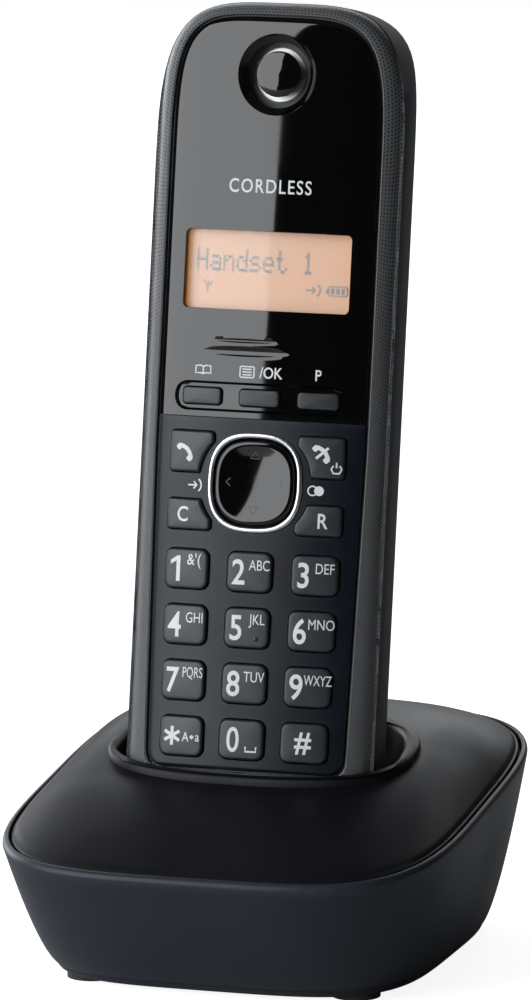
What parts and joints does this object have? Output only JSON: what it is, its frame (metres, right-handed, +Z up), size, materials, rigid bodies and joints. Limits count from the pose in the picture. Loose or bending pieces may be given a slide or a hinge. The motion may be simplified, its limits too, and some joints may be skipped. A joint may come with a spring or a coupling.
{
  "type": "cordless phone with base",
  "caption": "Cordless telephone handset with keypad, display and navigator key, standing tilted in a charging base with a domed cover.",
  "frame": {"origin": "middle of the base on the surface it stands on", "axes": "+Z up, +X to the user's right, -Y towards the user; the handset leans back towards +Y"},
  "size_m": [0.086, 0.1036, 0.1772],
  "materials": {
    "base_shell_plastic": "fine satin moulded texture",
    "base_cover_plastic": "fine matte moulded texture",
    "circuit_board": "solder resist",
    "tinned_steel": "tinned",
    "jack_plastic": "satin",
    "gold_contact": "gold plated",
    "foot_rubber": "matt",
    "case_plastic": "satin with a fine dot texture on the sides",
    "gloss_panel": "high gloss",
    "keypad_panel_plastic": "matte",
    "clear_window": "clear",
    "display": "amber liquid crystal display",
    "light_guide": "milky",
    "gasket_rubber": "soft silicone",
    "speaker_metal": "satin",
    "silver_trim": "satin chrome",
    "contact_pad": "carbon",
    "battery_sleeve": "printed-free shrink sleeve",
    "key_plastic": "satin"
  },
  "bodies": {
    "base": {"base_lower_shell": "base_shell_plastic", "base_top_cover": "base_cover_plastic", "base_circuit_board": "circuit_board", "base_radio_shield": "tinned_steel", "line_jack": "jack_plastic", "line_jack_contacts": "gold_contact", "dc_jack": "jack_plastic", "dc_jack_pin": "tinned_steel", "base_feet": "foot_rubber", "base_screws": "tinned_steel", "locator_switch": "jack_plastic"},
    "handset": {"handset_front_case": "case_plastic", "handset_rear_case": "case_plastic", "upper_panel": "gloss_panel", "keypad_panel": "keypad_panel_plastic", "display_window": "clear_window", "display_glass": "display", "display_backlight": "light_guide", "earpiece_gasket": "gasket_rubber", "earpiece_speaker": "speaker_metal", "ringer_speaker": "speaker_metal", "microphone": "speaker_metal", "microphone_boot": "gasket_rubber", "navigator_ring": "silver_trim", "handset_circuit_board": "circuit_board", "handset_radio_shield": "tinned_steel", "keypad_mat": "gasket_rubber", "key_contacts": "contact_pad", "handset_antenna": "tinned_steel", "battery_cells": "battery_sleeve", "battery_springs": "tinned_steel", "battery_plates": "tinned_steel", "handset_charge_pads": "gold_contact", "handset_screws": "tinned_steel"},
    "battery_door": {"battery_door": "case_plastic"},
    "navigator_pivot": {"navigator_pivot": "key_plastic"},
    "navigator": {"navigator": "gloss_panel"},
    "locator_button": {"locator_button": "key_plastic"},
    "charge_contact_left": {"charge_contact_left": "gold_contact"},
    "charge_contact_right": {"charge_contact_right": "gold_contact"},
    "key_1": {"key_1": "key_plastic"},
    "key_2": {"key_2": "key_plastic"},
    "key_3": {"key_3": "key_plastic"},
    "key_4": {"key_4": "key_plastic"},
    "key_5": {"key_5": "key_plastic"},
    "key_6": {"key_6": "key_plastic"},
    "key_7": {"key_7": "key_plastic"},
    "key_8": {"key_8": "key_plastic"},
    "key_9": {"key_9": "key_plastic"},
    "key_star": {"key_star": "key_plastic"},
    "key_0": {"key_0": "key_plastic"},
    "key_hash": {"key_hash": "key_plastic"},
    "talk_key": {"talk_key": "key_plastic"},
    "off_key": {"off_key": "key_plastic"},
    "clear_key": {"clear_key": "key_plastic"},
    "recall_key": {"recall_key": "key_plastic"},
    "soft_key_left": {"soft_key_left": "key_plastic"},
    "soft_key_middle": {"soft_key_middle": "key_plastic"},
    "soft_key_right": {"soft_key_right": "key_plastic"}
  },
  "joints": [
    {"name": "handset_lift", "type": "slide", "parent": "base", "child": "handset", "axis": [0, 0.1668, 0.986], "range_m": [0, 0.09]},
    {"name": "battery_door_release", "type": "slide", "parent": "handset", "child": "battery_door", "axis": [0, 0.986, -0.1668], "range_m": [0, 0.015]},
    {"name": "navigator_up_down", "type": "hinge", "parent": "handset", "child": "navigator_pivot", "pos_m": [0, -0.00545, 0.08995], "axis": [1, 0, 0], "range_deg": [-3, 3], "stiffness_Nm_per_rad": 0.2},
    {"name": "navigator_left_right", "type": "hinge", "parent": "navigator_pivot", "child": "navigator", "pos_m": [0, -0.00545, 0.08995], "axis": [0, 0.1668, 0.986], "range_deg": [-3, 3], "stiffness_Nm_per_rad": 0.2},
    {"name": "locator_press", "type": "slide", "parent": "base", "child": "locator_button", "axis": [0, -1, 0], "range_m": [0, 0.0008], "stiffness_N_per_m": 1200, "springref_m": -0.0004},
    {"name": "charge_contact_left_press", "type": "slide", "parent": "base", "child": "charge_contact_left", "axis": [0, -0.1668, -0.986], "range_m": [0, 0.0008], "stiffness_N_per_m": 300, "springref_m": -0.0004},
    {"name": "charge_contact_right_press", "type": "slide", "parent": "base", "child": "charge_contact_right", "axis": [0, -0.1668, -0.986], "range_m": [0, 0.0008], "stiffness_N_per_m": 300, "springref_m": -0.0004},
    {"name": "key_1_press", "type": "slide", "parent": "handset", "child": "key_1", "axis": [0, 0.986, -0.1668], "range_m": [0, 0.001], "stiffness_N_per_m": 1000, "springref_m": -0.0004},
    {"name": "key_2_press", "type": "slide", "parent": "handset", "child": "key_2", "axis": [0, 0.986, -0.1668], "range_m": [0, 0.001], "stiffness_N_per_m": 1000, "springref_m": -0.0004},
    {"name": "key_3_press", "type": "slide", "parent": "handset", "child": "key_3", "axis": [0, 0.986, -0.1668], "range_m": [0, 0.001], "stiffness_N_per_m": 1000, "springref_m": -0.0004},
    {"name": "key_4_press", "type": "slide", "parent": "handset", "child": "key_4", "axis": [0, 0.986, -0.1668], "range_m": [0, 0.001], "stiffness_N_per_m": 1000, "springref_m": -0.0004},
    {"name": "key_5_press", "type": "slide", "parent": "handset", "child": "key_5", "axis": [0, 0.986, -0.1668], "range_m": [0, 0.001], "stiffness_N_per_m": 1000, "springref_m": -0.0004},
    {"name": "key_6_press", "type": "slide", "parent": "handset", "child": "key_6", "axis": [0, 0.986, -0.1668], "range_m": [0, 0.001], "stiffness_N_per_m": 1000, "springref_m": -0.0004},
    {"name": "key_7_press", "type": "slide", "parent": "handset", "child": "key_7", "axis": [0, 0.986, -0.1668], "range_m": [0, 0.001], "stiffness_N_per_m": 1000, "springref_m": -0.0004},
    {"name": "key_8_press", "type": "slide", "parent": "handset", "child": "key_8", "axis": [0, 0.986, -0.1668], "range_m": [0, 0.001], "stiffness_N_per_m": 1000, "springref_m": -0.0004},
    {"name": "key_9_press", "type": "slide", "parent": "handset", "child": "key_9", "axis": [0, 0.986, -0.1668], "range_m": [0, 0.001], "stiffness_N_per_m": 1000, "springref_m": -0.0004},
    {"name": "key_star_press", "type": "slide", "parent": "handset", "child": "key_star", "axis": [0, 0.986, -0.1668], "range_m": [0, 0.001], "stiffness_N_per_m": 1000, "springref_m": -0.0004},
    {"name": "key_0_press", "type": "slide", "parent": "handset", "child": "key_0", "axis": [0, 0.986, -0.1668], "range_m": [0, 0.001], "stiffness_N_per_m": 1000, "springref_m": -0.0004},
    {"name": "key_hash_press", "type": "slide", "parent": "handset", "child": "key_hash", "axis": [0, 0.986, -0.1668], "range_m": [0, 0.001], "stiffness_N_per_m": 1000, "springref_m": -0.0004},
    {"name": "talk_key_press", "type": "slide", "parent": "handset", "child": "talk_key", "axis": [0, 0.986, -0.1668], "range_m": [0, 0.001], "stiffness_N_per_m": 1000, "springref_m": -0.0004},
    {"name": "off_key_press", "type": "slide", "parent": "handset", "child": "off_key", "axis": [0, 0.986, -0.1668], "range_m": [0, 0.001], "stiffness_N_per_m": 1000, "springref_m": -0.0004},
    {"name": "clear_key_press", "type": "slide", "parent": "handset", "child": "clear_key", "axis": [0, 0.986, -0.1668], "range_m": [0, 0.001], "stiffness_N_per_m": 1000, "springref_m": -0.0004},
    {"name": "recall_key_press", "type": "slide", "parent": "handset", "child": "recall_key", "axis": [0, 0.986, -0.1668], "range_m": [0, 0.001], "stiffness_N_per_m": 1000, "springref_m": -0.0004},
    {"name": "soft_key_left_press", "type": "slide", "parent": "handset", "child": "soft_key_left", "axis": [0, 0.986, -0.1668], "range_m": [0, 0.001], "stiffness_N_per_m": 1000, "springref_m": -0.0004},
    {"name": "soft_key_middle_press", "type": "slide", "parent": "handset", "child": "soft_key_middle", "axis": [0, 0.986, -0.1668], "range_m": [0, 0.001], "stiffness_N_per_m": 1000, "springref_m": -0.0004},
    {"name": "soft_key_right_press", "type": "slide", "parent": "handset", "child": "soft_key_right", "axis": [0, 0.986, -0.1668], "range_m": [0, 0.001], "stiffness_N_per_m": 1000, "springref_m": -0.0004}
  ]
}
